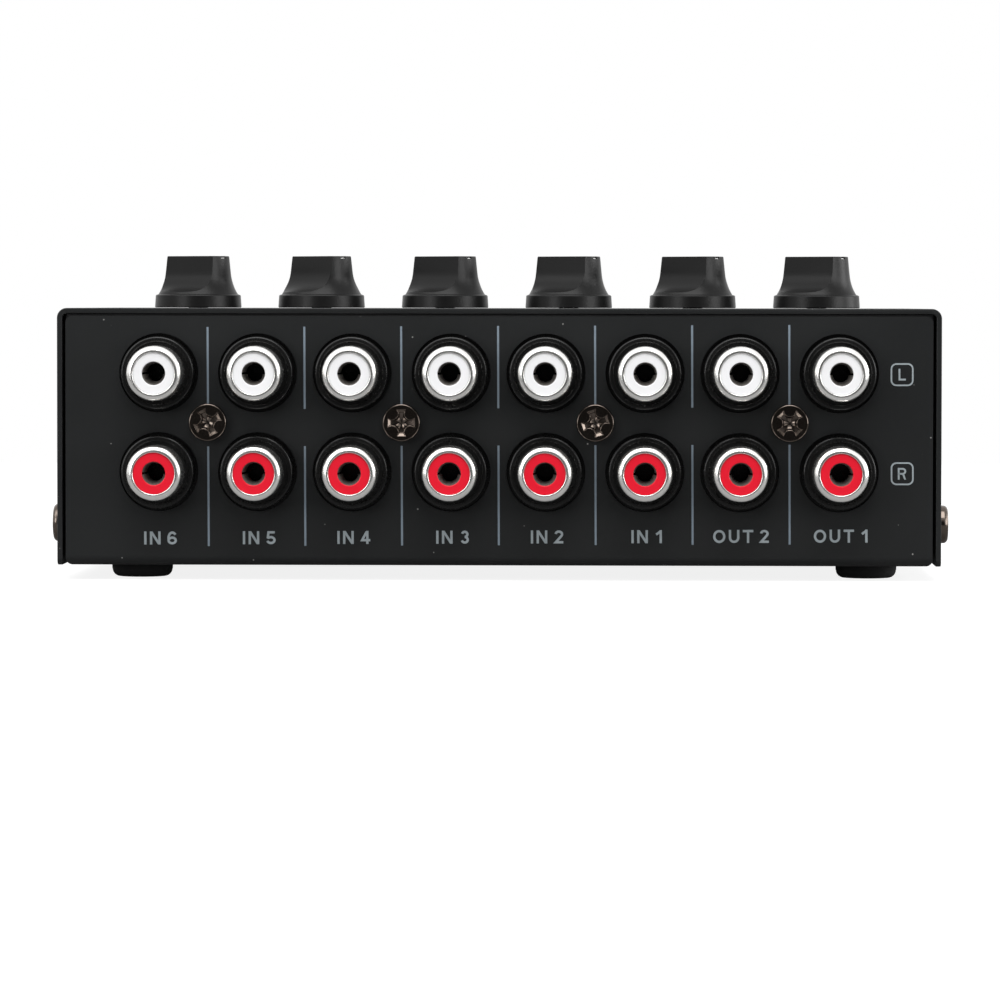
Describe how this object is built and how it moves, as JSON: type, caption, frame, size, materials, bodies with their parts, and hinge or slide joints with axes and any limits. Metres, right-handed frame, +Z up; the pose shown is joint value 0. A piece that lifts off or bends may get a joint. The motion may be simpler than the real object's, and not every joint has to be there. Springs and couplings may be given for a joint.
{
  "type": "passive stereo mixer",
  "caption": "Small passive audio mixer in a folded steel case, with a block of phono sockets on one long side and a row of turning level knobs on top.",
  "frame": {"origin": "on the resting plane, under the middle of the whole part's bounding box", "axes": "+X to the right as seen from the socket side, -Y out of the socket panel, +Z up"},
  "size_m": [0.137, 0.0892, 0.0496],
  "materials": {
    "case_paint": "satin black paint on folded steel, fine grain",
    "socket_moulding": "black moulded plastic",
    "socket_plating": "bright nickel plating",
    "white_insert": "white moulded plastic",
    "red_insert": "red moulded plastic",
    "tinned_brass": "tinned",
    "black_screw": "black nickel",
    "foot_rubber": "matt",
    "circuit_board": "green solder mask",
    "nylon": "natural",
    "link_plastic": "grey",
    "chip_ceramic": "matt black",
    "pot_housing": "plain",
    "shaft_metal": "turned",
    "knob_plastic": "matt black, moulded",
    "pointer_white": "white line"
  },
  "bodies": {
    "case": {"chassis": "case_paint", "top_cover": "case_paint", "jack_blocks": "socket_moulding", "jack_sleeves": "socket_plating", "white_inserts": "white_insert", "red_inserts": "red_insert", "jack_tails": "tinned_brass", "cover_screws": "black_screw", "rubber_feet": "foot_rubber", "jack_board": "circuit_board", "pot_board": "circuit_board", "board_spacers": "nylon", "board_link": "link_plastic", "mix_resistors": "chip_ceramic", "pot_1": "pot_housing", "pot_2": "pot_housing", "pot_3": "pot_housing", "pot_4": "pot_housing", "pot_5": "pot_housing", "pot_6": "pot_housing"},
    "level_1": {"shaft_1": "shaft_metal", "knob_1": "knob_plastic", "pointer_1": "pointer_white"},
    "level_2": {"shaft_2": "shaft_metal", "knob_2": "knob_plastic", "pointer_2": "pointer_white"},
    "level_3": {"shaft_3": "shaft_metal", "knob_3": "knob_plastic", "pointer_3": "pointer_white"},
    "level_4": {"shaft_4": "shaft_metal", "knob_4": "knob_plastic", "pointer_4": "pointer_white"},
    "level_5": {"shaft_5": "shaft_metal", "knob_5": "knob_plastic", "pointer_5": "pointer_white"},
    "level_6": {"shaft_6": "shaft_metal", "knob_6": "knob_plastic", "pointer_6": "pointer_white"}
  },
  "joints": [
    {"name": "turn_level_1", "type": "hinge", "parent": "case", "child": "level_1", "pos_m": [-0.05, 0.01965, 0.0413], "axis": [0, 0, 1], "range_deg": [-207, 93]},
    {"name": "turn_level_2", "type": "hinge", "parent": "case", "child": "level_2", "pos_m": [-0.03, 0.01965, 0.0413], "axis": [0, 0, 1], "range_deg": [-196, 104]},
    {"name": "turn_level_3", "type": "hinge", "parent": "case", "child": "level_3", "pos_m": [-0.01, 0.01965, 0.0413], "axis": [0, 0, 1], "range_deg": [-202, 98]},
    {"name": "turn_level_4", "type": "hinge", "parent": "case", "child": "level_4", "pos_m": [0.01, 0.01965, 0.0413], "axis": [0, 0, 1], "range_deg": [-206.5, 93.5]},
    {"name": "turn_level_5", "type": "hinge", "parent": "case", "child": "level_5", "pos_m": [0.03, 0.01965, 0.0413], "axis": [0, 0, 1], "range_deg": [-200, 100]},
    {"name": "turn_level_6", "type": "hinge", "parent": "case", "child": "level_6", "pos_m": [0.05, 0.01965, 0.0413], "axis": [0, 0, 1], "range_deg": [-204, 96]}
  ]
}
